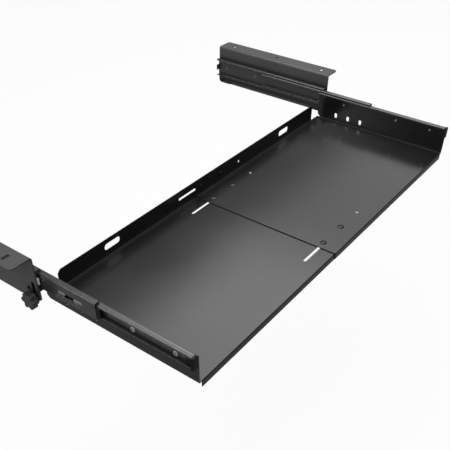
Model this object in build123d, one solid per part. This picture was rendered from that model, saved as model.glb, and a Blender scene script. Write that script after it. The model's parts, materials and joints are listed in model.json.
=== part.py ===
from build123d import *
import os

# Sliding keyboard tray of folded sheet steel for the underside of a desk, in millimetres, +Z up.
# The origin is the middle of the desk screw pattern, on the plane where the brackets meet the desk.
# +X is to the user's right and +Y runs back under the desk. At rest the tray is pulled out and at its widest.
# What comes in pairs is modelled on the left, and the right one is its mirror image about X = 0.

# Tray, made of two overlapping halves
tray_width = 670.0
tray_depth = 249.0
tray_underside_drop = 75.0
sheet = 1.2
sheet_bend = 0.8
halves_gap = 0.1
side_wall_height = 44.0
back_wall_height = 28.0
front_flange_drop = 8.0
wall_setback = 0.6
corner_relief = 5.0
wall_rear_chamfer = 6.0
back_wall_inset = 23.0
back_wall_chamfer = 5.0
left_half_length = 371.0
right_half_length = 368.5
cutter_overrun = 2.0

# Rows of joining screws: slots in the left half, holes in the right half
adjust_range = 50.0
screw_pitch = 50.0
hole_count = 3
screws_per_row = 2
front_row_inset = 26.0
rear_row_inset = 26.5
back_row_height = 15.0
row_end_margin = 6.5
joining_screw_radius = 2.0
joining_hole_clearance = 0.25
joining_head_radius = 4.5
joining_head_height = 2.0
joining_head_edge = 0.6
joining_nut_flats = 7.0
joining_nut_height = 3.2
thread_stickout = 1.0

# Cable ovals in the back wall and upright ovals in the side walls
cable_oval_length = 30.0
cable_oval_height = 10.0
cable_oval_inset = 120.5
cable_oval_rise = 16.0
wall_oval_height = 9.0
wall_oval_width = 5.5
wall_oval_pitch = 25.0
wall_oval_count = 3
wall_oval_rise = 11.5
wall_oval_rear_inset = 40.0

# Ball slide: u runs outward from the tray's wall and v up from the slide's centre line
slide_centre_rise = 36.5
rail_sheet = 1.1
rail_bend = 0.5
inner_half_height = 9.0
inner_rail_depth = 8.4
inner_lip = 1.6
inner_bead_rise = 3.4
inner_bead_half_height = 5.0
inner_bead_slope = 1.2
ball_radius = 1.4
ball_clearance = 0.05
ball_gap = 2.4
web_gap = 0.2
cage_sheet = 0.6
cage_bend = 0.3
cage_arm_margin = 0.55
lip_clearance = 0.3
inner_ball_u = 5.3
outer_ball_u = 7.8
middle_lip = 1.8
outer_lip = 1.6
middle_lip_start = 1.9

# Lengths and places along the slide, from the front ends when the tray is pulled out
travel = 240.0
middle_share = 0.455
inner_rail_length = 244.0
inner_rail_setback = 4.0
middle_rail_length = 234.0
middle_pull = 97.0
outer_rail_setback = 1.6
outer_rail_rear_gap = 0.4
inner_cage_length = 92.0
inner_cage_setback = 6.0
outer_cage_length = 120.0
outer_cage_setback = 9.0
balls_per_row = 5
rear_tab_height = 10.0
rear_tab_depth = 7.5

# Inner rail screws, from the tray's front face
rail_screw_places = (27.5, 90.5, 194.0)
rail_screw_radius = 2.0
rail_screw_clearance = 0.1
rail_screw_head_radius = 3.8
rail_screw_head_height = 2.2
rail_screw_tip = 0.8
head_room = 0.4
recess_width = 0.9
recess_length = 4.2
recess_depth = 1.2

# End cap of the inner rail, bumper of the middle rail and disconnect lever
cap_depth = 3.8
cap_width = 10.0
cap_round = 1.6
cap_plug_length = 8.0
plug_clearance = 0.05
bumper_length = 8.0
bumper_half_height = 7.5
bumper_round = 3.0
bumper_tongue = 5.5
peg_radius = 1.1
peg_inset = 3.0
peg_rise = 5.0
lever_length = 30.0
lever_setback = 34.0
lever_height = 12.0
lever_base = 1.2
lever_rib = 2.4
lever_reach = 8.2
lever_wave = 2.2

# Window in the middle rail's web and the opening in the ball cage behind it
window_start = 23.0
window_length = 44.0
window_height = 7.0
window_drop = 1.2
window_round = 1.0
cage_opening_start = 32.0
cage_opening_length = 15.0
cage_opening_height = 8.0
cage_opening_skew = 4.0

# Carrier plate that holds the outer rail and slides up and down in the desk bracket
carrier_sheet = 1.5
carrier_gap = 0.2
carrier_front_gap = 0.6
carrier_top_rise = 16.0
carrier_ear_drop = 31.5
carrier_ear_width = 28.0
carrier_waist_drop = 26.0
carrier_round = 6.0
carrier_step_round = 2.5
rivet_count = 4
rivet_inset = 20.0
rivet_radius = 2.0
rivet_head_radius = 3.0
rivet_head_depth = 0.6
rivet_clearance = 0.02

# Desk bracket
bracket_length = 250.0
bracket_sheet = 2.0
bracket_bend = 1.5
bracket_flange = 30.0
bracket_web_end = 5.0
bracket_round = 8.0
flange_round = 5.0
desk_slot_inset = 25.0
desk_slot_length = 12.0
desk_hole_radius = 2.75
desk_hole_line = 16.0
lift_range = 20.0
bolt_rise = 12.5
bolt_inset = 7.6
slot_clearance = 0.2
sight_hole_radius = 3.0
sight_hole_inset = 17.6
sight_hole_rise = 22.0
gusset_width = 8.0
gusset_reach = 7.0
gusset_inset = 62.5

# Carriage bolts, washers, lock nuts and knobs
bolt_radius = 3.0
bolt_clearance = 0.05
bolt_head_radius = 6.5
bolt_head_height = 3.0
bolt_neck = 6.2
neck_clearance = 0.1
washer_radius = 7.0
washer_bore_clearance = 0.2
washer_thickness = 1.2
washer_gap = 0.1
nut_flats = 10.0
nut_height = 6.0
nut_collar = 1.8
bolt_stickout = 1.5
knob_radius = 12.0
knob_core_radius = 8.6
knob_lobe_radius = 3.3
knob_lobes = 6
knob_hub_radius = 6.5
knob_hub_length = 2.6
knob_thickness = 10.0
knob_edge_round = 1.4
insert_radius = 4.6
insert_length = 9.0
bolt_bottom_gap = 0.8

# Edge glide at the front of the carrier
glide_height = 9.0
glide_rise = 39.0
glide_depth = 2.2
glide_width = 1.8
glide_tongue_height = 6.0
glide_tongue_length = 3.0

# Places that follow from the sizes above
left_wall_x = -tray_width / 2
floor_z = -tray_underside_drop
bracket_front_y = -bracket_length / 2
tray_front_y = bracket_front_y - travel
slide_z = floor_z + slide_centre_rise
nest_shift = sheet + halves_gap
wall_oval_first = tray_depth - wall_oval_rear_inset - (wall_oval_count - 1) * wall_oval_pitch
inner_rail_front = tray_front_y + inner_rail_setback
outer_rail_front = bracket_front_y + outer_rail_setback
outer_rail_length = bracket_length - outer_rail_setback - outer_rail_rear_gap
middle_rail_front = outer_rail_front - middle_pull

# Stack of the slide, outward from the wall and up from its centre line
inner_bead_u = rail_sheet + inner_bead_rise
inner_cage_web = inner_rail_depth + web_gap
middle_web = inner_cage_web + cage_sheet + web_gap
outer_cage_web = middle_web + rail_sheet + web_gap
outer_web = outer_cage_web + cage_sheet + web_gap
slide_thickness = outer_web + rail_sheet
inner_ball_v = inner_half_height + ball_gap / 2
middle_half_height = inner_half_height + ball_gap + rail_sheet
outer_ball_v = middle_half_height + ball_gap / 2
outer_half_height = middle_half_height + ball_gap + rail_sheet
outer_lip_start = outer_ball_u - ball_radius - cage_arm_margin - lip_clearance - rail_sheet
carrier_u = slide_thickness
bracket_u = carrier_u + carrier_sheet + carrier_gap
bracket_outer_u = bracket_u + bracket_sheet
washer_u = bracket_outer_u + washer_gap
hub_u = washer_u + washer_thickness + washer_gap
pattern_width = tray_width + 2 * (bracket_outer_u + desk_hole_line)

# Hole row of the right half, measured from the tray's left wall
first_hole_x = tray_width - right_half_length + 2 * row_end_margin
last_screw_x = first_hole_x + (screws_per_row - 1) * screw_pitch
slot_half_width = joining_screw_radius + joining_hole_clearance
slot_low_x = first_hole_x - adjust_range - slot_half_width
slot_high_x = last_screw_x + slot_half_width


def side_points(points, offset):
    """Points of a line beside an open path, at a signed distance."""
    beside = []
    for i, (x, y) in enumerate(points):
        before = points[max(i - 1, 0)]
        after = points[min(i + 1, len(points) - 1)]
        into = Vector(x - before[0], y - before[1])
        out = Vector(after[0] - x, after[1] - y)
        into = out if into.length == 0 else into
        out = into if out.length == 0 else out
        normal_in = Vector(-into.Y, into.X).normalized()
        normal_out = Vector(-out.Y, out.X).normalized()
        mitre = (normal_in + normal_out) * (offset / (1 + normal_in.dot(normal_out)))
        beside.append((x + mitre.X, y + mitre.Y))
    return beside


def folded_section(points, thickness, bend):
    """Face of a sheet folded along an open path through the middle of its thickness."""
    edges = []
    ends = []
    for side in (1, -1):
        beside = side_points(points, side * thickness / 2)
        radii = []
        for before, corner, after in zip(points, points[1:], points[2:]):
            turn = (corner[0] - before[0]) * (after[1] - corner[1])
            turn -= (corner[1] - before[1]) * (after[0] - corner[0])
            radii.append(bend if turn * side > 0 else bend + thickness)
        edges.append(FilletPolyline(*beside, radius=radii))
        ends.append((beside[0], beside[-1]))
    edges.append(Line(ends[0][0], ends[1][0]))
    edges.append(Line(ends[0][1], ends[1][1]))
    return make_face(Curve() + edges)


def slide_plane(y):
    """Plane across the left slide at a place along Y: its X is u and its Y is v."""
    return Plane(origin=(left_wall_x, y, slide_z), x_dir=(-1, 0, 0), z_dir=(0, 1, 0))


def along_slide(section, front, length):
    return extrude(slide_plane(front) * section, amount=length)


def slide_box(u_low, u_high, v_low, v_high, y_low, y_high):
    """Block given in the left slide's own directions."""
    section = Pos((u_low + u_high) / 2, (v_low + v_high) / 2) * Rectangle(u_high - u_low, v_high - v_low)
    return along_slide(section, y_low, y_high - y_low)


def outward_plane(u, y, v):
    """Plane that faces outward from the left slide: its X is Y and its Y is Z."""
    return Plane(origin=(left_wall_x - u, y, slide_z + v), x_dir=(0, -1, 0), z_dir=(-1, 0, 0))


def outward(section, u_low, u_high, y=0.0, v=0.0):
    """Section carried outward from u_low to u_high. Its X runs to the front and its Y up."""
    return extrude(outward_plane(u_low, y, v) * section, amount=u_high - u_low)


def both_ways(section):
    return section + mirror(section, about=Plane.XZ)


def raceway(centre_u, centre_v, limit_v, upward):
    """Bulge and groove that a row of balls needs in a flange whose far face is at limit_v."""
    groove = Pos(centre_u, centre_v) * Circle(ball_radius + ball_clearance)
    bulge = Pos(centre_u, centre_v) * Circle(ball_radius + ball_clearance + rail_sheet)
    reach = ball_radius + rail_sheet + ball_gap
    keep = Pos(centre_u, limit_v + (reach if upward else -reach) / 2) * Rectangle(2 * reach, reach)
    return bulge & keep, groove


# Tray halves

def tray_half(length, shift):
    """A half with its wall at x = 0, front face at y = 0 and floor underside at z = 0.

    It is set a shift forward and up from where the left half lies.
    """
    wall_height = side_wall_height - shift
    run = [(sheet / 2, -front_flange_drop), (sheet / 2, sheet / 2)]
    run += [(tray_depth - sheet / 2, sheet / 2), (tray_depth - sheet / 2, back_wall_height)]
    floor = extrude(Plane.YZ.offset(corner_relief) * folded_section(run, sheet, sheet_bend),
                    amount=length - corner_relief)
    rise = [(corner_relief, sheet / 2), (sheet / 2, sheet / 2), (sheet / 2, wall_height)]
    wall_length = tray_depth - wall_setback - sheet - sheet_bend
    wall = extrude(Plane(origin=(0, wall_setback, 0), x_dir=(1, 0, 0), z_dir=(0, -1, 0))
                   * folded_section(rise, sheet, sheet_bend), amount=-wall_length)
    half = floor + wall
    bend_zone = sheet + sheet_bend
    half -= Pos(back_wall_inset / 2, tray_depth, back_wall_height / 2) * Box(
        back_wall_inset, 2 * bend_zone, 2 * back_wall_height)
    corner = Polyline((back_wall_inset, back_wall_height - back_wall_chamfer),
                      (back_wall_inset + back_wall_chamfer, back_wall_height),
                      (back_wall_inset, back_wall_height), close=True)
    half -= extrude(Plane.XZ.offset(-tray_depth + sheet + cutter_overrun) * make_face(corner),
                    amount=-(sheet + 2 * cutter_overrun))
    rear = wall_setback + wall_length
    heel = Polyline((rear - wall_rear_chamfer, 0), (rear, 0), (rear, wall_rear_chamfer), close=True)
    half -= extrude(Plane.YZ.offset(-cutter_overrun) * make_face(heel),
                    amount=cutter_overrun + sheet + sheet_bend)
    for i in range(wall_oval_count):
        oval = Rot(0, 0, 90) * SlotOverall(wall_oval_height, wall_oval_width)
        place = (0, wall_oval_first + i * wall_oval_pitch, wall_oval_rise)
        half -= extrude(Plane(origin=place, x_dir=(0, 1, 0), z_dir=(1, 0, 0)) * oval,
                        amount=cutter_overrun, both=True)
    for place in rail_screw_places:
        half -= extrude(Plane(origin=(0, place, 0), x_dir=(0, 1, 0), z_dir=(1, 0, 0))
                        * Pos(shift, slide_centre_rise - shift)
                        * Circle(rail_screw_radius + rail_screw_clearance),
                        amount=cutter_overrun, both=True)
    cable = Plane(origin=(cable_oval_inset, tray_depth, cable_oval_rise - shift), x_dir=(1, 0, 0),
                  z_dir=(0, -1, 0))
    half -= extrude(cable * SlotOverall(cable_oval_length, cable_oval_height),
                    amount=sheet + cutter_overrun)
    return half


def row_planes(shift):
    """Middle planes of the three screw rows of a half, each with x along the row."""
    rows = []
    for y in (front_row_inset, tray_depth - rear_row_inset):
        rows.append(Plane(origin=(0, y + shift, sheet / 2), x_dir=(1, 0, 0), z_dir=(0, 0, 1)))
    rows.append(Plane(origin=(0, tray_depth - sheet / 2, back_row_height - shift), x_dir=(1, 0, 0),
                      z_dir=(0, -1, 0)))
    return rows


def left_tray():
    half = tray_half(left_half_length, 0)
    slot = Pos((slot_low_x + slot_high_x) / 2, 0) * SlotOverall(slot_high_x - slot_low_x, 2 * slot_half_width)
    for row in row_planes(0):
        half -= extrude(row * slot, amount=sheet, both=True)
    return Pos(left_wall_x, tray_front_y, floor_z) * half


def right_tray():
    half = tray_half(right_half_length, nest_shift)
    for row in row_planes(nest_shift):
        for i in range(hole_count):
            hole = Pos(tray_width - first_hole_x - i * screw_pitch, 0) * Circle(slot_half_width)
            half -= extrude(row * hole, amount=sheet, both=True)
    half = mirror(half, about=Plane.YZ)
    return Pos(-left_wall_x, tray_front_y - nest_shift, floor_z + nest_shift) * half


def joining_places():
    """Planes on the right half's inner face at each joining screw, looking inward to the keyboard."""
    places = []
    corner = Vector(left_wall_x, tray_front_y, floor_z)
    for row in row_planes(0):
        face = corner + row.origin + row.z_dir * (sheet / 2 + nest_shift)
        for i in range(screws_per_row):
            along = Vector(first_hole_x + i * screw_pitch, 0, 0)
            places.append(Plane(origin=face + along, x_dir=(1, 0, 0), z_dir=row.z_dir))
    return places


def dome(radius, height):
    """Round cap that stands on the XY plane."""
    ball = (radius * radius + height * height) / (2 * height)
    return Pos(0, 0, height - ball) * Sphere(ball) & extrude(Circle(radius), amount=height)


def joining_screw():
    """Low round head screw whose head rests on the XY plane."""
    grip = 2 * sheet + halves_gap + joining_nut_height + thread_stickout
    screw = extrude(Circle(joining_head_radius), amount=joining_head_edge)
    screw += Pos(0, 0, joining_head_edge) * dome(joining_head_radius, joining_head_height - joining_head_edge)
    screw += extrude(Circle(joining_screw_radius), amount=-grip)
    return screw - cross_recess(joining_head_height)


def cross_recess(head_height):
    """Cross-shaped recess that opens at a head's top."""
    bars = Rectangle(recess_length, recess_width) + Rectangle(recess_width, recess_length)
    return extrude(Plane.XY.offset(head_height - recess_depth) * bars, amount=recess_depth + cutter_overrun)


def hex_nut(flats, height, bore):
    shape = extrude(RegularPolygon(flats / 2, 6, major_radius=False), amount=height)
    return shape - extrude(Circle(bore), amount=height)


# Rails

def inner_section():
    half = inner_half_height - rail_sheet / 2
    edge = inner_rail_depth - rail_sheet / 2
    web = rail_sheet / 2
    top = web + inner_bead_rise
    foot = inner_bead_half_height + inner_bead_slope
    path = [(edge, half - inner_lip), (edge, half), (web, half), (web, foot), (top, inner_bead_half_height)]
    path += [(top, -inner_bead_half_height), (web, -foot), (web, -half), (edge, -half), (edge, inner_lip - half)]
    bulge, groove = raceway(inner_ball_u, inner_ball_v, inner_half_height - rail_sheet / 2, upward=False)
    return folded_section(path, rail_sheet, rail_bend) + both_ways(bulge) - both_ways(groove)


def middle_section():
    half = middle_half_height - rail_sheet / 2
    edge = middle_lip_start + rail_sheet / 2
    web = middle_web + rail_sheet / 2
    path = [(edge, half - middle_lip), (edge, half), (web, half)]
    path += [(web, -half), (edge, -half), (edge, middle_lip - half)]
    inner_bulge, inner_groove = raceway(inner_ball_u, inner_ball_v, half, upward=True)
    outer_bulge, outer_groove = raceway(outer_ball_u, outer_ball_v, half, upward=False)
    section = folded_section(path, rail_sheet, rail_bend) + both_ways(inner_bulge) + both_ways(outer_bulge)
    return section - both_ways(inner_groove) - both_ways(outer_groove)


def outer_section():
    half = outer_half_height - rail_sheet / 2
    edge = outer_lip_start + rail_sheet / 2
    web = outer_web + rail_sheet / 2
    path = [(edge, half - outer_lip), (edge, half), (web, half)]
    path += [(web, -half), (edge, -half), (edge, outer_lip - half)]
    bulge, groove = raceway(outer_ball_u, outer_ball_v, half, upward=True)
    return folded_section(path, rail_sheet, rail_bend) + both_ways(bulge) - both_ways(groove)


def inner_rail():
    rail = along_slide(inner_section(), inner_rail_front, inner_rail_length)
    for place in rail_screw_places:
        rail -= outward(Circle(rail_screw_radius + rail_screw_clearance), -cutter_overrun,
                        inner_bead_u + cutter_overrun, tray_front_y + place)
    return rail


def middle_rail():
    rail = along_slide(middle_section(), middle_rail_front, middle_rail_length)
    window = RectangleRounded(window_length, window_height, window_round)
    middle = middle_rail_front + window_start + window_length / 2
    rail -= outward(window, middle_web - web_gap, middle_web + rail_sheet + web_gap, middle, -window_drop)
    for v in (peg_rise, -peg_rise):
        rail -= outward(Circle(peg_radius + plug_clearance), middle_web - web_gap,
                        middle_web + rail_sheet + web_gap, middle_rail_front + peg_inset, v)
    return rail


def rivet(extra=0.0):
    """Flush rivet through the outer rail's web and the carrier, about the outward axis."""
    shank = rivet_radius + extra
    head = rivet_head_radius + extra
    depth = rail_sheet + carrier_sheet
    outline = Polyline((0, 0), (head, 0), (shank, rivet_head_depth), (shank, depth - rivet_head_depth),
                       (head, depth), (0, depth), close=True)
    return revolve(Plane.XZ * make_face(outline), axis=Axis.Z)


def rivets(extra=0.0):
    pitch = (outer_rail_length - 2 * rivet_inset) / (rivet_count - 1)
    places = [outer_rail_front + rivet_inset + i * pitch for i in range(rivet_count)]
    return [outward_plane(outer_web, place, 0) * rivet(extra) for place in places]


def outer_rail():
    rail = along_slide(outer_section(), outer_rail_front, outer_rail_length)
    rear = outer_rail_front + outer_rail_length
    rail += slide_box(outer_web - rear_tab_depth, outer_web + rail_sheet / 2, -rear_tab_height / 2,
                      rear_tab_height / 2, rear - rail_sheet, rear)
    for cutter in rivets(rivet_clearance):
        rail -= cutter
    return rail


def ball_cage(web_u, ball_u, ball_v, front, length):
    """Cage of thin steel with a web and two arms, and its two rows of balls."""
    tip = ball_u - ball_radius - ball_clearance - cage_arm_margin
    web = web_u + cage_sheet / 2
    path = [(tip, ball_v), (web, ball_v), (web, -ball_v), (tip, -ball_v)]
    cage = along_slide(folded_section(path, cage_sheet, cage_bend), front, length)
    pitch = length / balls_per_row
    balls = []
    for i in range(balls_per_row):
        y = front + (i + 0.5) * pitch
        for v in (ball_v, -ball_v):
            centre = Pos(left_wall_x - ball_u, y, slide_z + v)
            cage -= centre * Cylinder(ball_radius + ball_clearance, ball_gap)
            balls.append(centre * Sphere(ball_radius))
    return cage, Compound(children=balls)


def inner_cage():
    front = middle_rail_front + inner_cage_setback
    cage, balls = ball_cage(inner_cage_web, inner_ball_u, inner_ball_v, front, inner_cage_length)
    half_length = cage_opening_length / 2
    half_height = cage_opening_height / 2
    lean = cage_opening_skew / 2
    opening = Polyline((-half_length - lean, -half_height), (half_length - lean, -half_height),
                       (half_length + lean, half_height), (-half_length + lean, half_height), close=True)
    middle = front + cage_opening_start + half_length
    cage -= outward(make_face(opening), inner_cage_web - web_gap, inner_cage_web + cage_sheet + web_gap,
                    middle, -window_drop)
    return cage, balls


def outer_cage():
    front = outer_rail_front + outer_cage_setback
    return ball_cage(outer_cage_web, outer_ball_u, outer_ball_v, front, outer_cage_length)


def pan_screws():
    """Screws that hold the inner rail on the tray's wall, with their tips inside the tray."""
    screws = []
    for place in rail_screw_places:
        start = -(sheet + rail_screw_tip)
        shank = outward(Circle(rail_screw_radius), start, inner_bead_u, tray_front_y + place)
        head_plane = outward_plane(inner_bead_u, tray_front_y + place, 0)
        head = extrude(Circle(rail_screw_head_radius), amount=rail_screw_head_height)
        rim = head.faces().sort_by(Axis.Z)[-1].edges()
        head = fillet(rim, rail_screw_head_height / 2)
        head -= cross_recess(rail_screw_head_height)
        screws.append(shank + head_plane * head)
    return Compound(children=screws)


def end_cap():
    """Moulded cap on the front end of the inner rail, with a plug inside the channel."""
    front = inner_rail_front - cap_depth
    section = Pos(cap_width / 2, 0) * RectangleRounded(cap_width, 2 * inner_half_height, cap_round)
    cap = along_slide(section, front, cap_depth)
    nose = cap.faces().sort_by(Axis.Y)[0].edges()
    cap = fillet(nose, cap_round / 2)
    plug_half = inner_half_height - rail_sheet - ball_gap / 2
    cap += slide_box(inner_bead_u + plug_clearance, inner_rail_depth - rail_sheet - plug_clearance,
                     -plug_half, plug_half, inner_rail_front, inner_rail_front + cap_plug_length)
    return cap


def middle_bumper():
    """Moulded bumper on the front end of the middle rail, pegged into its web."""
    block = Pos(bumper_length / 2, 0) * Rectangle(bumper_length, 2 * bumper_half_height)
    corners = block.vertices().filter_by(lambda corner: corner.X > bumper_length / 2)
    block = fillet(corners, bumper_round)
    low = inner_cage_web + web_gap
    bumper = outward(block, low, middle_web + rail_sheet, middle_rail_front)
    bumper += slide_box(low, middle_web - plug_clearance, -bumper_half_height, bumper_half_height,
                        middle_rail_front, middle_rail_front + bumper_tongue)
    for v in (peg_rise, -peg_rise):
        bumper += outward(Circle(peg_radius), low, middle_web + rail_sheet, middle_rail_front + peg_inset, v)
    return bumper


def release_lever():
    """Moulded lever in the inner rail with a waved tongue, pressed to part the slide."""
    front = middle_rail_front + lever_setback
    base = slide_box(inner_bead_u, inner_bead_u + lever_base, -lever_height / 2, lever_height / 2,
                     front, front + lever_length)
    half = lever_length / 2
    wave = Spline((half, lever_wave), (half / 2, -lever_wave), (0, lever_wave), (-half / 2, -lever_wave),
                  (-half, lever_wave))
    ribbon = trace(wave, line_width=lever_rib)
    tongue = outward(ribbon, inner_bead_u + lever_base / 2, lever_reach, front + half, -window_drop)
    keep = slide_box(inner_bead_u, lever_reach, -lever_height / 2, lever_height / 2, front, front + lever_length)
    room = outward(Circle(rail_screw_head_radius + head_room), inner_bead_u - head_room,
                   inner_bead_u + rail_screw_head_height + head_room, tray_front_y + rail_screw_places[-1])
    return base + (tongue & keep) - room


# Carrier, desk bracket and their hardware

def bolt_places():
    return (bracket_front_y + bolt_inset, -bracket_front_y - bolt_inset)


def bolt_v():
    return bolt_rise - slide_centre_rise


def carrier():
    """Upright plate with two ears for the bolts."""
    front = bracket_front_y + carrier_front_gap
    rear = -bracket_front_y - carrier_front_gap
    top = carrier_top_rise
    ear = -carrier_ear_drop
    waist = -carrier_waist_drop
    points = [(front, ear), (front + carrier_ear_width, ear), (front + carrier_ear_width, waist),
              (rear - carrier_ear_width, waist), (rear - carrier_ear_width, ear), (rear, ear),
              (rear, top), (front, top)]
    outline = make_face(Polyline(*[(-y, v) for y, v in points], close=True))
    steps = outline.vertices().filter_by(lambda corner: abs(corner.X) < rear - carrier_ear_width / 2)
    outline = fillet(steps, carrier_step_round)
    tips = outline.vertices().filter_by(lambda corner: abs(corner.X) > rear - carrier_ear_width / 2)
    outline = fillet(tips, carrier_round)
    plate = outward(outline, carrier_u, carrier_u + carrier_sheet)
    neck = Rectangle(bolt_neck + 2 * neck_clearance, bolt_neck + 2 * neck_clearance)
    for y in bolt_places():
        plate -= outward(neck, carrier_u - web_gap, carrier_u + carrier_sheet + web_gap, y, bolt_v())
    sight = Circle(sight_hole_radius)
    plate -= outward(sight, carrier_u - web_gap, carrier_u + carrier_sheet + web_gap,
                     bracket_front_y + sight_hole_inset, sight_hole_rise - slide_centre_rise)
    for cutter in rivets(rivet_clearance):
        plate -= cutter
    notch = glide_tongue_height / 2 + plug_clearance
    rise = glide_rise - slide_centre_rise
    plate -= slide_box(carrier_u - web_gap, carrier_u + carrier_sheet + web_gap, rise - notch, rise + notch,
                       front - cutter_overrun, front + glide_tongue_length + plug_clearance)
    return plate


def desk_bracket():
    """Angle bracket: web with two upright slots, and a flange that is screwed to the desk."""
    middle = bracket_sheet / 2
    top = tray_underside_drop - slide_centre_rise - middle
    web_end = bracket_web_end - slide_centre_rise
    path = [(bracket_outer_u + bracket_flange, top), (bracket_u + middle, top), (bracket_u + middle, web_end)]
    bracket = along_slide(folded_section(path, bracket_sheet, bracket_bend), bracket_front_y, bracket_length)
    toes = bracket.edges().filter_by(Axis.X).filter_by(
        lambda edge: abs(edge.center().Z - slide_z - web_end) < middle)
    bracket = fillet(toes, bracket_round)
    tips = bracket.edges().filter_by(Axis.Z).filter_by(
        lambda edge: edge.center().X < left_wall_x - bracket_outer_u - bracket_flange + middle)
    bracket = fillet(tips, flange_round)
    slot_width = 2 * (bolt_radius + slot_clearance)
    slot = Rot(0, 0, 90) * SlotOverall(lift_range + slot_width, slot_width)
    for y in bolt_places():
        bracket -= outward(slot, bracket_u - web_gap, bracket_outer_u + web_gap, y, bolt_v() + lift_range / 2)
    bracket -= outward(Circle(sight_hole_radius), bracket_u - web_gap, bracket_outer_u + web_gap,
                       bracket_front_y + sight_hole_inset, sight_hole_rise - slide_centre_rise)
    holes = [Pos(0, 0) * Circle(desk_hole_radius)]
    for y in (bracket_front_y + desk_slot_inset, -bracket_front_y - desk_slot_inset):
        holes.append(Pos(0, y) * SlotOverall(desk_slot_length, 2 * desk_hole_radius))
    for hole in holes:
        bracket -= extrude(Plane(origin=(-pattern_width / 2, 0, 0)) * hole, amount=-2 * bracket_sheet, both=True)
    for y in (-gusset_inset, gusset_inset):
        bracket += gusset(y)
    return bracket


def gusset(y):
    """Pressed dart that stiffens the bend between web and flange, on its outer side."""
    corner_u = bracket_outer_u - bracket_sheet / 4
    corner_v = tray_underside_drop - slide_centre_rise - 3 * bracket_sheet / 4
    outline = Polyline((corner_u, corner_v), (corner_u + gusset_reach, corner_v),
                       (corner_u, corner_v - gusset_reach), close=True)
    dart = along_slide(make_face(outline), y - gusset_width / 2, gusset_width)
    slope = dart.faces().sort_by(lambda face: abs(face.normal_at().X * face.normal_at().Z))[-1]
    sides = slope.edges().filter_by(lambda edge: abs(edge.tangent_at(0).Y) * 2 < 1)
    return fillet(sides, gusset_width / 4)


def carriage_bolt(length):
    """Bolt along +Z: its round head ends at z = 0 and its square neck is in the carrier."""
    bolt = mirror(dome(bolt_head_radius, bolt_head_height), about=Plane.XY)
    bolt += extrude(Rectangle(bolt_neck, bolt_neck), amount=carrier_sheet)
    return bolt + extrude(Circle(bolt_radius), amount=length)


def bolts():
    front_length = hub_u - carrier_u + knob_hub_length + knob_thickness - knob_edge_round - bolt_bottom_gap
    rear_length = hub_u - washer_gap - carrier_u + nut_height + bolt_stickout
    placed = []
    for y, length in zip(bolt_places(), (front_length, rear_length)):
        placed.append(outward_plane(carrier_u, y, bolt_v()) * carriage_bolt(length))
    return Compound(children=placed)


def washers():
    ring = Circle(washer_radius) - Circle(bolt_radius + washer_bore_clearance)
    placed = [outward(ring, washer_u, washer_u + washer_thickness, y, bolt_v()) for y in bolt_places()]
    return Compound(children=placed)


def lock_nut():
    nut = hex_nut(nut_flats, nut_height - nut_collar, bolt_radius)
    collar = extrude(Plane.XY.offset(nut_height - nut_collar) * Circle(nut_flats / 2 - nut_collar / 4),
                     amount=nut_collar)
    collar -= extrude(Circle(bolt_radius), amount=nut_height)
    return outward_plane(washer_u + washer_thickness, bolt_places()[1], bolt_v()) * (nut + collar)


def knob():
    """Star knob with rounded lobes and a short hub, with a blind bore for the bolt."""
    star = Circle(knob_core_radius)
    for i in range(knob_lobes):
        star += Rot(0, 0, i * 360 / knob_lobes) * Pos(knob_radius - knob_lobe_radius, 0) * Circle(knob_lobe_radius)
    creases = star.vertices()
    star = fillet(creases, knob_lobe_radius / 2)
    head = extrude(Plane.XY.offset(knob_hub_length) * star, amount=knob_thickness)
    rims = head.faces().filter_by(Axis.Z).edges()
    head = fillet(rims, knob_edge_round)
    body = head + extrude(Circle(knob_hub_radius), amount=knob_hub_length + knob_edge_round)
    depth = knob_hub_length + knob_thickness - knob_edge_round
    body -= extrude(Circle(bolt_radius + bolt_clearance), amount=depth)
    body -= extrude(Circle(insert_radius), amount=insert_length)
    return outward_plane(hub_u, bolt_places()[0], bolt_v()) * body


def knob_insert():
    ring = Circle(insert_radius) - Circle(bolt_radius + bolt_clearance)
    return outward(ring, hub_u, hub_u + insert_length, bolt_places()[0], bolt_v())


def edge_glide():
    """Pale moulded glide on the carrier's front edge, beside the bracket's edge."""
    front = bracket_front_y + carrier_front_gap
    rise = glide_rise - slide_centre_rise
    face = bracket_front_y - halves_gap
    glide = slide_box(carrier_u, carrier_u + glide_width, rise - glide_height / 2, rise + glide_height / 2,
                      face - glide_depth, face)
    return glide + slide_box(carrier_u, carrier_u + carrier_sheet, rise - glide_tongue_height / 2,
                             rise + glide_tongue_height / 2, face, front + glide_tongue_length)


def joining_hardware():
    screws = [place * joining_screw() for place in joining_places()]
    nuts = []
    for place in joining_places():
        depth = 2 * sheet + halves_gap + joining_nut_height
        nuts.append(place * Pos(0, 0, -depth) * hex_nut(joining_nut_flats, joining_nut_height, joining_screw_radius))
    return Compound(children=screws), Compound(children=nuts)


def side_nodes():
    """Nodes of the left side, by name without the side."""
    nodes = {}
    nodes["desk_bracket"] = desk_bracket()
    nodes["carrier_plate"] = carrier()
    nodes["outer_rail"] = outer_rail()
    nodes["rail_rivets"] = Compound(children=rivets())
    nodes["carriage_bolts"] = bolts()
    nodes["washers"] = washers()
    nodes["rear_lock_nut"] = lock_nut()
    nodes["edge_glide"] = edge_glide()
    nodes["lock_knob"] = knob()
    nodes["knob_insert"] = knob_insert()
    nodes["outer_ball_cage"], nodes["outer_balls"] = outer_cage()
    nodes["middle_rail"] = middle_rail()
    nodes["middle_bumper"] = middle_bumper()
    nodes["inner_ball_cage"], nodes["inner_balls"] = inner_cage()
    nodes["inner_rail"] = inner_rail()
    nodes["inner_rail_screws"] = pan_screws()
    nodes["rail_end_cap"] = end_cap()
    nodes["release_lever"] = release_lever()
    return nodes


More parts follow.
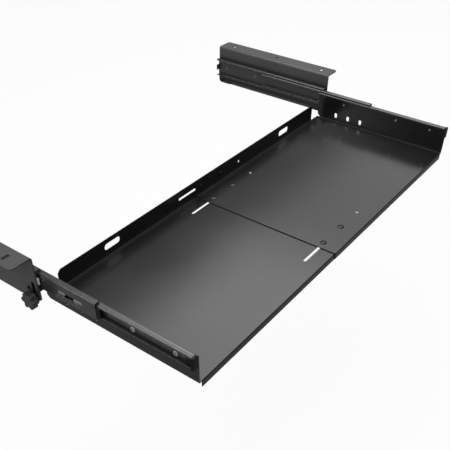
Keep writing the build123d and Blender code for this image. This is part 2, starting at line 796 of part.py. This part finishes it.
os.makedirs("parts", exist_ok=True)
for name, shape in side_nodes().items():
    export_step(shape, f"parts/{name}_left.step")
    export_step(mirror(shape, about=Plane.YZ), f"parts/{name}_right.step")
screws, nuts = joining_hardware()
for name, shape in (("tray_left", left_tray()), ("tray_right", right_tray()),
                    ("joining_screws", screws), ("joining_nuts", nuts)):
    export_step(shape, f"parts/{name}.step")
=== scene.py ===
import bpy
import json
from mathutils import Matrix, Vector


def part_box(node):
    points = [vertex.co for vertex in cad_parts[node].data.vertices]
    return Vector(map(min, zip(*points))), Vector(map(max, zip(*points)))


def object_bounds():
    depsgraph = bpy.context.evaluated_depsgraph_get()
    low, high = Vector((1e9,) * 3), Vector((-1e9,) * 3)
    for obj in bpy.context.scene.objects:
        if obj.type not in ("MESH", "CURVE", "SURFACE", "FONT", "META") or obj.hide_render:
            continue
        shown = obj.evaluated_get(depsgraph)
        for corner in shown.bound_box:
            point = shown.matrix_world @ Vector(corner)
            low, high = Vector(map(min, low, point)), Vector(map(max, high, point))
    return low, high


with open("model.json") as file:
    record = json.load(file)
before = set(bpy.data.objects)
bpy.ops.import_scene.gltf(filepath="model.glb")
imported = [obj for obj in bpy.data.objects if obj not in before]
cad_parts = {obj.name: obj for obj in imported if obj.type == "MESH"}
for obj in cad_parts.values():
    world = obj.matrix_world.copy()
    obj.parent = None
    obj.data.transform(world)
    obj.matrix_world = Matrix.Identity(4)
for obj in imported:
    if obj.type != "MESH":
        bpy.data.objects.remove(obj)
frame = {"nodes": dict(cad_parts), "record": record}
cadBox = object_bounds()
nodes = frame["nodes"]
print("frame loaded:", len(nodes), "nodes")


# Small helpers for building node trees

def addNode(tree, kind, x=0, y=0, **settings):
    node = tree.nodes.new(kind)
    node.location = (x, y)
    for name, value in settings.items():
        setattr(node, name, value)
    return node


def newGroup(name, inputs, outputs):
    tree = bpy.data.node_groups.new(name, "ShaderNodeTree")
    for label, kind, value in inputs:
        socket = tree.interface.new_socket(label, in_out="INPUT", socket_type=kind)
        if value is not None:
            socket.default_value = value
    for label, kind in outputs:
        tree.interface.new_socket(label, in_out="OUTPUT", socket_type=kind)
    return tree, addNode(tree, "NodeGroupInput", -900), addNode(tree, "NodeGroupOutput", 900)


def rampBetween(tree, low, high, x=0, y=0):
    node = addNode(tree, "ShaderNodeMapRange", x, y, interpolation_type="SMOOTHSTEP")
    node.inputs["From Min"].default_value = low
    node.inputs["From Max"].default_value = high
    return node


def noiseAt(tree, vector, scale, detail, x=0, y=0, rough=0.55):
    node = addNode(tree, "ShaderNodeTexNoise", x, y)
    node.inputs["Scale"].default_value = scale
    node.inputs["Detail"].default_value = detail
    node.inputs["Roughness"].default_value = rough
    tree.links.new(vector, node.inputs["Vector"])
    return node


# The colour above is laid over the one below where factor is high; each is a socket or three numbers
def mixColour(tree, factor, below, above, amount, x, y):
    share = addNode(tree, "ShaderNodeMath", x - 200, y + 120, operation="MULTIPLY")
    tree.links.new(factor, share.inputs[0])
    share.inputs[1].default_value = amount
    mix = addNode(tree, "ShaderNodeMix", x, y, data_type="RGBA")
    tree.links.new(share.outputs["Value"], mix.inputs["Factor"])
    for socket, value in ((mix.inputs["A"], below), (mix.inputs["B"], above)):
        if isinstance(value, bpy.types.NodeSocket):
            tree.links.new(value, socket)
        else:
            socket.default_value = (*value, 1.0)
    return mix.outputs["Result"]


def mixValue(tree, factor, low, high, x, y):
    node = addNode(tree, "ShaderNodeMapRange", x, y)
    node.inputs["To Min"].default_value = low
    node.inputs["To Max"].default_value = high
    tree.links.new(factor, node.inputs["Value"])
    return node.outputs["Result"]


# Powder coat: orange peel height, fine speckle and slow drift of tone

def makeCoatGrain():
    tree, groupIn, groupOut = newGroup(
        "coatGrain",
        [("Vector", "NodeSocketVector", None), ("Peel Scale", "NodeSocketFloat", 900.0),
         ("Speckle Scale", "NodeSocketFloat", 2600.0), ("Drift Scale", "NodeSocketFloat", 9.0)],
        [("Height", "NodeSocketFloat"), ("Speckle", "NodeSocketFloat"), ("Drift", "NodeSocketFloat")])
    for row, (label, detail, low, high, out) in enumerate((
            ("Peel Scale", 2.0, 0.25, 0.75, "Height"),
            ("Speckle Scale", 1.0, 0.45, 0.75, "Speckle"),
            ("Drift Scale", 4.0, 0.3, 0.7, "Drift"))):
        noise = noiseAt(tree, groupIn.outputs["Vector"], scale=1.0, detail=detail, x=-600, y=-260 * row)
        tree.links.new(groupIn.outputs[label], noise.inputs["Scale"])
        ramp = rampBetween(tree, low, high, -300, -260 * row)
        tree.links.new(noise.outputs["Fac"], ramp.inputs["Value"])
        tree.links.new(ramp.outputs["Result"], groupOut.inputs[out])
    return tree


# Worn arrises: where a rounded normal leaves the true one, broken up by noise

edgeWear = dict(samples=6, flatFrom=0.995, wornFrom=0.90, patchLow=0.35, patchHigh=0.68)


def makeEdgeWear():
    tree, groupIn, groupOut = newGroup(
        "edgeWear",
        [("Vector", "NodeSocketVector", None), ("Radius", "NodeSocketFloat", 0.0006),
         ("Break Scale", "NodeSocketFloat", 160.0)],
        [("Wear", "NodeSocketFloat")])
    bevel = addNode(tree, "ShaderNodeBevel", -700, 0, samples=edgeWear["samples"])
    tree.links.new(groupIn.outputs["Radius"], bevel.inputs["Radius"])
    geometry = addNode(tree, "ShaderNodeNewGeometry", -700, -220)
    dot = addNode(tree, "ShaderNodeVectorMath", -480, 0, operation="DOT_PRODUCT")
    tree.links.new(bevel.outputs["Normal"], dot.inputs[0])
    tree.links.new(geometry.outputs["Normal"], dot.inputs[1])
    edge = addNode(tree, "ShaderNodeMapRange", -260, 0)
    edge.inputs["From Min"].default_value = edgeWear["flatFrom"]
    edge.inputs["From Max"].default_value = edgeWear["wornFrom"]
    tree.links.new(dot.outputs["Value"], edge.inputs["Value"])
    noise = noiseAt(tree, groupIn.outputs["Vector"], scale=1.0, detail=4.0, x=-480, y=-300)
    tree.links.new(groupIn.outputs["Break Scale"], noise.inputs["Scale"])
    ramp = rampBetween(tree, edgeWear["patchLow"], edgeWear["patchHigh"], -260, -300)
    tree.links.new(noise.outputs["Fac"], ramp.inputs["Value"])
    both = addNode(tree, "ShaderNodeMath", 0, 0, operation="MULTIPLY")
    tree.links.new(edge.outputs["Result"], both.inputs[0])
    tree.links.new(ramp.outputs["Result"], both.inputs[1])
    tree.links.new(both.outputs["Value"], groupOut.inputs["Wear"])
    return tree


# Dust that settles on faces that look up, thinner where it is wiped

dustFilm = dict(slope=(0.3, 0.98), patches=(0.38, 0.72), flecks=(0.5, 0.7), fleckShare=0.5)


def makeDustFilm():
    tree, groupIn, groupOut = newGroup(
        "dustFilm",
        [("Vector", "NodeSocketVector", None), ("Patch Scale", "NodeSocketFloat", 26.0),
         ("Fleck Scale", "NodeSocketFloat", 1500.0)],
        [("Dust", "NodeSocketFloat")])
    geometry = addNode(tree, "ShaderNodeNewGeometry", -700, 200)
    split = addNode(tree, "ShaderNodeSeparateXYZ", -500, 200)
    tree.links.new(geometry.outputs["Normal"], split.inputs["Vector"])
    up = rampBetween(tree, *dustFilm["slope"], -300, 200)
    tree.links.new(split.outputs["Z"], up.inputs["Value"])
    patch = noiseAt(tree, groupIn.outputs["Vector"], scale=1.0, detail=5.0, x=-600, y=-80)
    tree.links.new(groupIn.outputs["Patch Scale"], patch.inputs["Scale"])
    soft = rampBetween(tree, *dustFilm["patches"], -300, -80)
    tree.links.new(patch.outputs["Fac"], soft.inputs["Value"])
    fleck = noiseAt(tree, groupIn.outputs["Vector"], scale=1.0, detail=2.0, x=-600, y=-340)
    tree.links.new(groupIn.outputs["Fleck Scale"], fleck.inputs["Scale"])
    fine = rampBetween(tree, *dustFilm["flecks"], -300, -340)
    tree.links.new(fleck.outputs["Fac"], fine.inputs["Value"])
    spread = addNode(tree, "ShaderNodeMath", -60, -160, operation="MULTIPLY_ADD")
    tree.links.new(fine.outputs["Result"], spread.inputs[0])
    spread.inputs[1].default_value = dustFilm["fleckShare"]
    tree.links.new(soft.outputs["Result"], spread.inputs[2])
    both = addNode(tree, "ShaderNodeMath", 180, 0, operation="MULTIPLY", use_clamp=True)
    tree.links.new(up.outputs["Result"], both.inputs[0])
    tree.links.new(spread.outputs["Value"], both.inputs[1])
    tree.links.new(both.outputs["Value"], groupOut.inputs["Dust"])
    return tree


# Fine lines left by rolling, turning or brushing, stretched along one direction

brushLines = dict(dark=0.3, light=0.7)


def makeBrushLines():
    tree, groupIn, groupOut = newGroup(
        "brushLines",
        [("Vector", "NodeSocketVector", None), ("Stretch", "NodeSocketVector", (1.0, 0.04, 1.0)),
         ("Line Scale", "NodeSocketFloat", 1800.0)],
        [("Lines", "NodeSocketFloat")])
    scaled = addNode(tree, "ShaderNodeVectorMath", -600, 0, operation="MULTIPLY")
    tree.links.new(groupIn.outputs["Vector"], scaled.inputs[0])
    tree.links.new(groupIn.outputs["Stretch"], scaled.inputs[1])
    noise = noiseAt(tree, scaled.outputs["Vector"], scale=1.0, detail=3.0, x=-360, y=0)
    tree.links.new(groupIn.outputs["Line Scale"], noise.inputs["Scale"])
    ramp = rampBetween(tree, brushLines["dark"], brushLines["light"], -120, 0)
    tree.links.new(noise.outputs["Fac"], ramp.inputs["Value"])
    tree.links.new(ramp.outputs["Result"], groupOut.inputs["Lines"])
    return tree


# Corners and grooves, where little light gets in: open faces give 1

cornerShade = dict(samples=6, patchScale=90.0, uneven=(0.92, 1.08), closed=0.50, open=0.88)


def makeCornerShade():
    tree, groupIn, groupOut = newGroup(
        "cornerShade",
        [("Vector", "NodeSocketVector", None), ("Reach", "NodeSocketFloat", 0.010),
         ("Floor", "NodeSocketFloat", 0.25)],
        [("Open", "NodeSocketFloat")])
    occlusion = addNode(tree, "ShaderNodeAmbientOcclusion", -500, 0, samples=cornerShade["samples"])
    tree.links.new(groupIn.outputs["Reach"], occlusion.inputs["Distance"])
    noise = noiseAt(tree, groupIn.outputs["Vector"], cornerShade["patchScale"], detail=3.0,
                    x=-500, y=-260)
    uneven = mixValue(tree, noise.outputs["Fac"], *cornerShade["uneven"], -260, -260)
    product = addNode(tree, "ShaderNodeMath", -60, 0, operation="MULTIPLY")
    tree.links.new(occlusion.outputs["AO"], product.inputs[0])
    tree.links.new(uneven, product.inputs[1])
    ramp = rampBetween(tree, cornerShade["closed"], cornerShade["open"], 160, 0)
    tree.links.new(product.outputs["Value"], ramp.inputs["Value"])
    tree.links.new(groupIn.outputs["Floor"], ramp.inputs["To Min"])
    tree.links.new(ramp.outputs["Result"], groupOut.inputs["Open"])
    return tree


# Threads as fine rings: only between two distances along an axis, and on faces that turn round it

# steepest is the largest share of a face's normal along the axis that still carries a thread
threadRings = dict(always=-1.0, steepest=0.3, halfTurn=0.5, depthShare=1.2)


def makeThreadRings():
    tree, groupIn, groupOut = newGroup(
        "threadRings",
        [("Vector", "NodeSocketVector", None), ("Axis", "NodeSocketVector", (1.0, 0.0, 0.0)),
         ("Pitch", "NodeSocketFloat", 0.001), ("Low", "NodeSocketFloat", 0.0),
         ("High", "NodeSocketFloat", 1.0)],
        [("Height", "NodeSocketFloat")])
    coordinates = addNode(tree, "ShaderNodeTexCoord", -900, -300)
    masks = []
    for row, (source, low, high) in enumerate((
            (groupIn.outputs["Vector"], groupIn.outputs["Low"], groupIn.outputs["High"]),
            (coordinates.outputs["Normal"], threadRings["always"], threadRings["steepest"]))):
        dot = addNode(tree, "ShaderNodeVectorMath", -650, -300 * row, operation="DOT_PRODUCT")
        tree.links.new(source, dot.inputs[0])
        tree.links.new(groupIn.outputs["Axis"], dot.inputs[1])
        size = addNode(tree, "ShaderNodeMath", -450, -300 * row, operation="ABSOLUTE")
        tree.links.new(dot.outputs["Value"], size.inputs[0])
        for side, limit in (("GREATER_THAN", low), ("LESS_THAN", high)):
            test = addNode(tree, "ShaderNodeMath", -250, -300 * row - 140 * len(masks),
                           operation=side)
            tree.links.new(size.outputs["Value"], test.inputs[0])
            if isinstance(limit, float):
                test.inputs[1].default_value = limit
            else:
                tree.links.new(limit, test.inputs[1])
            masks.append(test.outputs["Value"])
        if row == 0:
            turns = addNode(tree, "ShaderNodeMath", -250, 200, operation="DIVIDE")
            tree.links.new(size.outputs["Value"], turns.inputs[0])
            tree.links.new(groupIn.outputs["Pitch"], turns.inputs[1])
            ridge = addNode(tree, "ShaderNodeMath", -50, 200, operation="PINGPONG")
            tree.links.new(turns.outputs["Value"], ridge.inputs[0])
            ridge.inputs[1].default_value = threadRings["halfTurn"]
    last = ridge.outputs["Value"]
    for step, mask in enumerate(masks):
        product = addNode(tree, "ShaderNodeMath", 150 + 160 * step, 0, operation="MULTIPLY")
        tree.links.new(last, product.inputs[0])
        tree.links.new(mask, product.inputs[1])
        last = product.outputs["Value"]
    tree.links.new(last, groupOut.inputs["Height"])
    return tree


groups = {"grain": makeCoatGrain(), "wear": makeEdgeWear(), "dust": makeDustFilm(),
          "lines": makeBrushLines(), "corner": makeCornerShade(), "thread": makeThreadRings()}
print("shared effects made:", len(groups))


def placeGroup(tree, key, vector, x, y, values=()):
    node = addNode(tree, "ShaderNodeGroup", x, y, node_tree=groups[key])
    tree.links.new(vector, node.inputs["Vector"])
    for label, value in dict(values).items():
        node.inputs[label].default_value = value
    return node


def startMaterial(name, metallic=0.0, specular=0.5):
    material = bpy.data.materials.new(name)
    material.use_nodes = True
    tree = material.node_tree
    shader = tree.nodes["Principled BSDF"]
    shader.location = (900, 0)
    tree.nodes["Material Output"].location = (1200, 0)
    shader.inputs["Metallic"].default_value = metallic
    shader.inputs["Specular IOR Level"].default_value = specular
    coordinates = addNode(tree, "ShaderNodeTexCoord", -1200, 0)
    return material, tree, shader, coordinates.outputs["Object"]


def bumpFrom(tree, shader, height, distance, strength):
    bump = addNode(tree, "ShaderNodeBump", 640, -420)
    bump.inputs["Distance"].default_value = distance
    bump.inputs["Strength"].default_value = strength
    tree.links.new(height, bump.inputs["Height"])
    tree.links.new(bump.outputs["Normal"], shader.inputs["Normal"])
    return bump


# Satin coats on the folded sheet parts, with painted shade darkening their corners and a duller finish
# there

def coatedSteel(name, look):
    material, tree, shader, vector = startMaterial(name, specular=look["specular"])
    grain = placeGroup(tree, "grain", vector, -900, 0, {"Peel Scale": look["peelScale"]})
    wear = placeGroup(tree, "wear", vector, -900, -320, {"Radius": look["wearRadius"]})
    dust = placeGroup(tree, "dust", vector, -900, -560)
    tone = mixColour(tree, grain.outputs["Drift"], look["colour"], look["drift"], 1.0, -500, 200)
    tone = mixColour(tree, grain.outputs["Speckle"], tone, look["speckle"], look["speckleShare"],
                     -240, 200)
    tone = mixColour(tree, dust.outputs["Dust"], tone, look["dust"], look["dustShare"], 20, 200)
    corner = placeGroup(tree, "corner", vector, -900, 400,
                        {"Reach": look["cornerReach"], "Floor": look["cornerFloor"]})
    bare = addNode(tree, "ShaderNodeMath", 20, -160, operation="MULTIPLY")
    tree.links.new(wear.outputs["Wear"], bare.inputs[0])
    tree.links.new(corner.outputs["Open"], bare.inputs[1])
    # Light worn arrises, kept out of corners; on the rails they also serve as a painted highlight
    tone = mixColour(tree, bare.outputs["Value"], tone, look["worn"], look["wearShare"], 280, 200)
    # Painted shade: the coat's colour goes to near-black where corners and grooves close in
    tone = mixColour(tree, corner.outputs["Open"], look["cornerShadeTone"], tone, 1.0, 540, 200)
    tree.links.new(tone, shader.inputs["Base Color"])
    rough = mixValue(tree, grain.outputs["Drift"], *look["rough"], 280, -100)
    dull = addNode(tree, "ShaderNodeMapRange", 540, -100)
    dull.inputs["To Min"].default_value = look["cornerRough"]
    tree.links.new(rough, dull.inputs["To Max"])
    tree.links.new(corner.outputs["Open"], dull.inputs["Value"])
    tree.links.new(dull.outputs["Result"], shader.inputs["Roughness"])
    bumpFrom(tree, shader, grain.outputs["Height"], look["peelDepth"], look["peelStrength"])
    return material


# cornerShadeTone is the painted shade colour laid into corners and grooves
trayCoat = dict(colour=(0.010, 0.010, 0.0104), drift=(0.013, 0.013, 0.0134),
                speckle=(0.030, 0.030, 0.031), speckleShare=0.25, dust=(0.12, 0.118, 0.115),
                dustShare=0.02, worn=(0.10, 0.10, 0.10), wearShare=0.35, wearRadius=0.0006,
                rough=(0.18, 0.22), specular=0.60, peelScale=800.0, peelDepth=0.00004,
                peelStrength=0.3, cornerReach=0.012, cornerFloor=0.1,
                cornerShadeTone=(0.003, 0.003, 0.003), cornerRough=0.75)
# The rails' light worn arrises are partly wear and partly a painted highlight along their edges
railCoat = dict(trayCoat, colour=(0.034, 0.034, 0.0345), drift=(0.042, 0.042, 0.0425),
                speckle=(0.055, 0.055, 0.055), speckleShare=0.2, worn=(0.42, 0.42, 0.43), wearShare=0.8,
                rough=(0.22, 0.28), specular=1.0, peelScale=1300.0, peelDepth=0.00002,
                cornerReach=0.0025, cornerFloor=0.05)
bracketCoat = dict(trayCoat, colour=(0.074, 0.074, 0.0745), drift=(0.086, 0.086, 0.0865),
                   rough=(0.34, 0.40), specular=0.45)
carrierCoat = dict(trayCoat, colour=(0.016, 0.016, 0.0165), drift=(0.020, 0.020, 0.0205))


# Bare and plated metals

def platedSteel(name, look):
    material, tree, shader, vector = startMaterial(name, metallic=1.0)
    lines = placeGroup(tree, "lines", vector, -900, 0,
                       {"Line Scale": look["lineScale"], "Stretch": look["stretch"]})
    wear = placeGroup(tree, "wear", vector, -900, -320, {"Radius": look["wearRadius"]})
    cloud = noiseAt(tree, vector, look["cloudScale"], detail=4.0, x=-900, y=300)
    tone = mixColour(tree, cloud.outputs["Fac"], look["colour"], look["cloud"], 1.0, -500, 200)
    tone = mixColour(tree, lines.outputs["Lines"], tone, look["line"], look["lineShare"], -240, 200)
    tone = mixColour(tree, wear.outputs["Wear"], tone, look["worn"], look["wearShare"], 20, 200)
    tree.links.new(tone, shader.inputs["Base Color"])
    rough = mixValue(tree, lines.outputs["Lines"], *look["rough"], 280, -100)
    tree.links.new(rough, shader.inputs["Roughness"])
    bump = bumpFrom(tree, shader, lines.outputs["Lines"], look["lineDepth"], look["lineStrength"])
    for row, thread in enumerate(look.get("threads", ())):
        rings = placeGroup(tree, "thread", vector, 200, -700 - 300 * row, thread)
        under = addNode(tree, "ShaderNodeBump", 420, -700 - 300 * row)
        under.inputs["Distance"].default_value = threadRings["depthShare"] * thread["Pitch"]
        tree.links.new(rings.outputs["Height"], under.inputs["Height"])
        tree.links.new(under.outputs["Normal"], bump.inputs["Normal"])
        bump = under
    return material


zincPlate = dict(colour=(0.74, 0.74, 0.75), cloud=(0.66, 0.66, 0.68), cloudScale=300.0,
                 line=(0.45, 0.45, 0.47), lineShare=0.4, lineScale=1800.0, lineDepth=0.00001,
                 lineStrength=0.25, stretch=(1.0, 0.05, 1.0), worn=(0.8, 0.8, 0.8), wearShare=0.4,
                 wearRadius=0.0003, rough=(0.24, 0.36))
rivetSteel = dict(zincPlate, colour=(0.30, 0.30, 0.31), cloud=(0.24, 0.24, 0.25), line=(0.2, 0.2, 0.2))
cageZinc = dict(zincPlate, colour=(0.86, 0.86, 0.87), cloud=(0.78, 0.78, 0.80), rough=(0.34, 0.46))
ballSteel = dict(zincPlate, colour=(0.70, 0.70, 0.71), cloud=(0.62, 0.62, 0.63), lineShare=0.1,
                 rough=(0.08, 0.14))
insertBrass = dict(zincPlate, colour=(0.72, 0.52, 0.25), cloud=(0.62, 0.44, 0.2), line=(0.5, 0.36, 0.16))
blackOxide = dict(zincPlate, colour=(0.045, 0.045, 0.048), cloud=(0.06, 0.06, 0.062),
                  line=(0.08, 0.08, 0.08), worn=(0.3, 0.3, 0.3), rough=(0.34, 0.46))


# Moulded plastics

def mouldedPlastic(name, look):
    material, tree, shader, vector = startMaterial(name, specular=look["specular"])
    grain = placeGroup(tree, "grain", vector, -900, 0,
                       {"Peel Scale": look["sparkScale"], "Speckle Scale": look["fleckScale"]})
    wear = placeGroup(tree, "wear", vector, -900, -320, {"Radius": look["wearRadius"]})
    dust = placeGroup(tree, "dust", vector, -900, -560)
    tone = mixColour(tree, grain.outputs["Drift"], look["colour"], look["drift"], 1.0, -500, 200)
    tone = mixColour(tree, dust.outputs["Dust"], tone, look["dust"], look["dustShare"], -240, 200)
    tone = mixColour(tree, wear.outputs["Wear"], tone, look["worn"], look["wearShare"], 20, 200)
    tree.links.new(tone, shader.inputs["Base Color"])
    rough = mixValue(tree, grain.outputs["Speckle"], *look["rough"], 280, -100)
    tree.links.new(rough, shader.inputs["Roughness"])
    bumpFrom(tree, shader, grain.outputs["Height"], look["sparkDepth"], look["sparkStrength"])
    return material


knobPlastic = dict(colour=(0.044, 0.044, 0.0445), drift=(0.052, 0.052, 0.0525), dust=(0.10, 0.10, 0.10),
                   dustShare=0.08, worn=(0.11, 0.11, 0.11), wearShare=0.6, wearRadius=0.0006,
                   rough=(0.40, 0.55), specular=0.6, sparkScale=1500.0, sparkDepth=0.00004,
                   sparkStrength=0.4, fleckScale=3600.0)
blackAcetal = dict(knobPlastic, colour=(0.004, 0.004, 0.0045), drift=(0.006, 0.006, 0.0065),
                   dustShare=0.03, wearShare=0.3, rough=(0.32, 0.42), specular=0.14)
paleNylon = dict(knobPlastic, colour=(0.78, 0.78, 0.75), drift=(0.70, 0.70, 0.67),
                 dust=(0.4, 0.4, 0.38), worn=(0.75, 0.75, 0.72), rough=(0.45, 0.55))


# Threads run from the washers, heads and nuts on; the boxes of these pieces give the places

threadSizes = dict(coarsePitch=0.001, finePitch=0.0007, headDepth=0.0023, tipReach=0.002, far=1.0)
washerFace = -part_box("washers_left")[0].x
screwFace = -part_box("inner_rail_screws_left")[0].x
nutsLow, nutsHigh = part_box("joining_nuts")
boltThread = {"Axis": (1.0, 0.0, 0.0), "Pitch": threadSizes["coarsePitch"], "Low": washerFace,
              "High": threadSizes["far"]}
panThread = {"Axis": (1.0, 0.0, 0.0), "Pitch": threadSizes["finePitch"], "Low": 0.0,
             "High": screwFace - threadSizes["headDepth"]}
floorThread = {"Axis": (0.0, 0.0, 1.0), "Pitch": threadSizes["finePitch"], "Low": -nutsLow.z,
               "High": threadSizes["far"]}
wallThread = {"Axis": (0.0, 1.0, 0.0), "Pitch": threadSizes["finePitch"],
              "Low": -nutsHigh.y - threadSizes["tipReach"], "High": -nutsHigh.y}

finishes = {
    "tray_coat": coatedSteel("trayCoat", trayCoat),
    "rail_coat": coatedSteel("railCoat", railCoat),
    "bracket_coat": coatedSteel("bracketCoat", bracketCoat),
    "carrier_coat": coatedSteel("carrierCoat", carrierCoat),
    "rivet_steel": platedSteel("rivetSteel", rivetSteel),
    "bolt_coat": platedSteel("boltOxide", dict(blackOxide, threads=[boltThread])),
    "washer_coat": platedSteel("washerOxide", dict(blackOxide, stretch=(1.0, 1.0, 0.06))),
    "nut_zinc": platedSteel("nutZinc", zincPlate),
    "pale_nylon": mouldedPlastic("paleNylon", paleNylon),
    "knob_plastic": mouldedPlastic("knobPlastic", knobPlastic),
    "insert_brass": platedSteel("insertBrass", insertBrass),
    "cage_steel": platedSteel("cageZinc", cageZinc),
    "ball_steel": platedSteel("ballSteel", ballSteel),
    "black_plastic": mouldedPlastic("blackAcetal", blackAcetal),
    "screw_zinc": platedSteel("screwZinc", dict(zincPlate, stretch=(0.06, 1.0, 1.0),
                                                threads=[panThread])),
    "joining_black": platedSteel("joiningOxide", dict(blackOxide, threads=[floorThread, wallThread])),
}
print("finishes made:", len(finishes))


# Each piece takes the finish that its slot in the record names

for part in frame["record"]["subparts"]:
    piece = nodes[part["node"]]
    piece.data.materials.clear()
    piece.data.materials.append(finishes[part["material_slot"]])
print("finishes given to", len(nodes), "nodes")


# Floor, lamps, air and camera

studio = dict(floorBelow=0.30, floorSize=9.0, floorColour=(0.88, 0.88, 0.88), floorRough=0.9,
              floorSpecular=0.1, cameraWhite=0.95, glossyWhite=0.26, air=0.2,
              airColour=(1.0, 1.0, 1.0, 1.0))


# The floor is nearly white to the camera, keeps some of the shadow, and is dim in reflections
def makeFloor():
    height = cadBox[0].z - studio["floorBelow"]
    bpy.ops.mesh.primitive_plane_add(size=studio["floorSize"], location=(0, 0, height))
    floor = bpy.context.object
    floor.name = "studioFloor"
    material = bpy.data.materials.new("floorPaper")
    material.use_nodes = True
    tree = material.node_tree
    shader = tree.nodes["Principled BSDF"]
    shader.inputs["Roughness"].default_value = studio["floorRough"]
    shader.inputs["Specular IOR Level"].default_value = studio["floorSpecular"]
    shader.inputs["Base Color"].default_value = (*studio["floorColour"], 1.0)
    path = addNode(tree, "ShaderNodeLightPath", -600, 300)
    last = shader.outputs["BSDF"]
    for row, (ray, strength, share) in enumerate((
            ("Is Camera Ray", 1.0, studio["cameraWhite"]),
            ("Is Transmission Ray", 1.0, studio["cameraWhite"]),
            ("Is Glossy Ray", studio["glossyWhite"], 1.0))):
        glow = addNode(tree, "ShaderNodeEmission", 0, -300 - 200 * row)
        glow.inputs["Strength"].default_value = strength
        part = addNode(tree, "ShaderNodeMath", -200, 300 - 200 * row, operation="MULTIPLY")
        part.inputs[1].default_value = share
        tree.links.new(path.outputs[ray], part.inputs[0])
        mix = addNode(tree, "ShaderNodeMixShader", 300 + 200 * row, 0)
        tree.links.new(part.outputs["Value"], mix.inputs["Fac"])
        tree.links.new(last, mix.inputs[1])
        tree.links.new(glow.outputs["Emission"], mix.inputs[2])
        last = mix.outputs["Shader"]
    tree.links.new(last, tree.nodes["Material Output"].inputs["Surface"])
    floor.data.materials.append(material)


# The satin floor of the tray mirrors the two boxes overhead; the others light the left slide
leftSlide = (-0.35, -0.25, -0.03)
lamps = {
    "softBox": dict(place=(0.46, 0.08, 1.0), aim=(0.46, 0.08, 0.0), size=(1.5, 1.12), power=14.0),
    "farBox": dict(place=(2.00, 0.16, 1.0), aim=(2.00, 0.16, 0.0), size=(1.6, 1.0), power=5.0),
    "leftFill": dict(place=(-1.25, -0.75, 1.35), aim=leftSlide, size=(0.9, 0.9), power=6.5),
    "rimStrip": dict(place=(-1.35, 0.75, 0.80), aim=leftSlide, size=(0.6, 0.4), power=4.0),
}


def makeLamps():
    for name, lamp in lamps.items():
        data = bpy.data.lights.new(name, "AREA")
        data.shape = "RECTANGLE"
        data.size, data.size_y = lamp["size"]
        data.energy = lamp["power"]
        holder = bpy.data.objects.new(name, data)
        bpy.context.collection.objects.link(holder)
        holder.location = lamp["place"]
        toward = Vector(lamp["aim"]) - Vector(lamp["place"])
        holder.rotation_euler = toward.to_track_quat("-Z", "Y").to_euler()


def makeWorld():
    world = bpy.data.worlds.new("studioAir")
    bpy.context.scene.world = world
    world.use_nodes = True
    tree = world.node_tree
    air = tree.nodes["Background"]
    air.inputs["Color"].default_value = studio["airColour"]
    air.inputs["Strength"].default_value = studio["air"]
    path = addNode(tree, "ShaderNodeLightPath", -400, 200)
    last = air.outputs["Background"]
    for row, (ray, strength) in enumerate((
            ("Is Camera Ray", 1.0), ("Is Transmission Ray", 1.0),
            ("Is Glossy Ray", studio["glossyWhite"]))):
        white = addNode(tree, "ShaderNodeBackground", 0, -200 - 200 * row)
        white.inputs["Color"].default_value = studio["airColour"]
        white.inputs["Strength"].default_value = strength
        mix = addNode(tree, "ShaderNodeMixShader", 300 + 200 * row, 0)
        tree.links.new(path.outputs[ray], mix.inputs["Fac"])
        tree.links.new(last, mix.inputs[1])
        tree.links.new(white.outputs["Background"], mix.inputs[2])
        last = mix.outputs["Shader"]
    tree.links.new(last, tree.nodes["World Output"].inputs["Surface"])


# Fitted to the parallel edges of the tray in the photograph
cameraSetup = dict(place=(-0.7018, -0.6710, 0.4529), right=(0.5975, -0.8018, 0.0055),
                   ahead=(0.5984, 0.4413, -0.6687), lens=51.18, sensor=36.0, shiftX=-0.0022,
                   shiftY=0.2067, near=0.01)


def makeCamera():
    ahead = Vector(cameraSetup["ahead"]).normalized()
    right = Vector(cameraSetup["right"])
    right = (right - right.dot(ahead) * ahead).normalized()
    up = right.cross(ahead)
    data = bpy.data.cameras.new("photoCamera")
    data.lens = cameraSetup["lens"]
    data.sensor_width = cameraSetup["sensor"]
    data.shift_x = cameraSetup["shiftX"]
    data.shift_y = cameraSetup["shiftY"]
    data.clip_start = cameraSetup["near"]
    camera = bpy.data.objects.new("photoCamera", data)
    bpy.context.collection.objects.link(camera)
    turn = Matrix((right, up, -ahead)).transposed().to_4x4()
    camera.matrix_world = Matrix.Translation(cameraSetup["place"]) @ turn
    bpy.context.scene.camera = camera


makeFloor()
makeLamps()
makeWorld()
makeCamera()
bpy.context.scene.view_settings.view_transform = "Standard"
print("studio ready")
